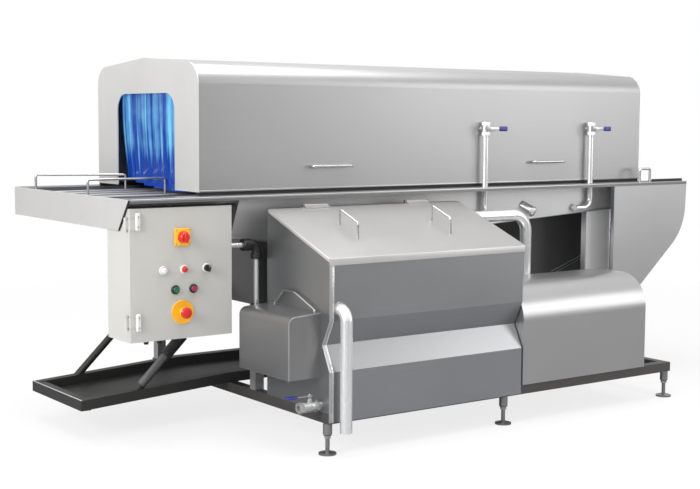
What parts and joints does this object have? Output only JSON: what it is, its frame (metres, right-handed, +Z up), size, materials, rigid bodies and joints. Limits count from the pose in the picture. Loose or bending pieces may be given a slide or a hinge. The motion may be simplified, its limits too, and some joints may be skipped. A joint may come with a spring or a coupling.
{
  "type": "bin tunnel washer",
  "caption": "Stainless tunnel washing machine for food bins and crates, with a hooded wash tunnel, strip curtains, a filter tank, a pump cover and a control cabinet.",
  "frame": {"origin": "on the floor, under the middle of the whole machine", "axes": "+X along the machine from the infeed to the outfeed, +Y from the operator's side to the back, +Z up"},
  "size_m": [3.06, 1.552, 1.462],
  "materials": {
    "stainless": "satin brushed",
    "dark_steel": "dark satin",
    "seal": "matt",
    "curtain_blue": "translucent",
    "valve_blue": "dipped grip",
    "cabinet_grey": "powder coat",
    "switch_yellow": "moulded",
    "switch_red": "moulded",
    "button_green": "moulded",
    "knob_black": "moulded"
  },
  "bodies": {
    "machine": {"hood_shell": "stainless", "portal_infeed": "stainless", "portal_outfeed": "stainless", "hood_grips": "stainless", "trough": "stainless", "infeed_tray": "stainless", "trough_rims": "stainless", "infeed_end_plate": "stainless", "outfeed_sides": "stainless", "outfeed_chute": "stainless", "conveyor_rods": "stainless", "conveyor_slats": "stainless", "guide_rails": "stainless", "curtain_rods": "stainless", "filter_tank": "stainless", "heater_housing": "stainless", "overflow_pipe": "stainless", "drain_valve": "stainless", "pump_cover": "stainless", "pump_pipe": "stainless", "rinse_pipes": "stainless", "supply_pipe": "stainless", "outfeed_posts": "stainless", "sump_legs": "stainless", "sump": "stainless", "feet_front": "stainless", "feet_back": "stainless", "base_rails": "dark_steel", "base_crosses": "dark_steel", "infeed_extension": "dark_steel", "struts": "dark_steel", "drive_housing": "dark_steel", "outfeed_bar": "dark_steel", "hood_seat": "seal", "curtain_infeed": "curtain_blue", "curtain_outfeed": "curtain_blue", "cabinet_body": "cabinet_grey", "cable_glands": "knob_black"},
    "door": {"cabinet_door": "cabinet_grey", "door_fittings": "switch_yellow"},
    "main_switch": {"switch_knob": "switch_red"},
    "selector": {"selector_knob": "knob_black"},
    "stop_button": {"stop_button": "switch_red"},
    "start_button": {"start_button": "button_green"},
    "halt_button": {"halt_button": "switch_red"},
    "lid": {"tank_lid": "stainless", "lid_grips": "stainless"},
    "rinse_lever_left": {"rinse_lever_left": "valve_blue"},
    "rinse_lever_right": {"rinse_lever_right": "valve_blue"},
    "drain_lever": {"drain_lever": "valve_blue"}
  },
  "joints": [
    {"name": "door_hinge", "type": "hinge", "parent": "machine", "child": "door", "pos_m": [-1.471, -0.268, 0.66], "axis": [0, 0, -1], "range_deg": [0, 110]},
    {"name": "main_switch_turn", "type": "hinge", "parent": "door", "child": "main_switch", "pos_m": [-1.251, -0.305, 0.787], "axis": [0, 1, 0], "range_deg": [0, 90]},
    {"name": "selector_turn", "type": "hinge", "parent": "door", "child": "selector", "pos_m": [-1.15, -0.305, 0.667], "axis": [0, 1, 0], "range_deg": [0, 90]},
    {"name": "stop_push", "type": "slide", "parent": "door", "child": "stop_button", "axis": [0, 1, 0], "range_m": [0, 0.006]},
    {"name": "start_push", "type": "slide", "parent": "door", "child": "start_button", "axis": [0, 1, 0], "range_m": [0, 0.004], "stiffness_N_per_m": 300},
    {"name": "halt_push", "type": "slide", "parent": "door", "child": "halt_button", "axis": [0, 1, 0], "range_m": [0, 0.004], "stiffness_N_per_m": 300},
    {"name": "lid_hinge", "type": "hinge", "parent": "machine", "child": "lid", "pos_m": [-0.409, -0.296, 0.884], "axis": [-1, 0, 0], "range_deg": [0, 85]},
    {"name": "rinse_left_turn", "type": "hinge", "parent": "machine", "child": "rinse_lever_left", "pos_m": [0.288, -0.245, 1.183], "axis": [0, 1, 0], "range_deg": [0, 90]},
    {"name": "rinse_right_turn", "type": "hinge", "parent": "machine", "child": "rinse_lever_right", "pos_m": [0.94, -0.245, 1.183], "axis": [0, 1, 0], "range_deg": [0, 90]},
    {"name": "drain_turn", "type": "hinge", "parent": "machine", "child": "drain_lever", "pos_m": [-0.93, -0.652, 0.2175], "axis": [0, 0, 1], "range_deg": [0, 90]}
  ]
}
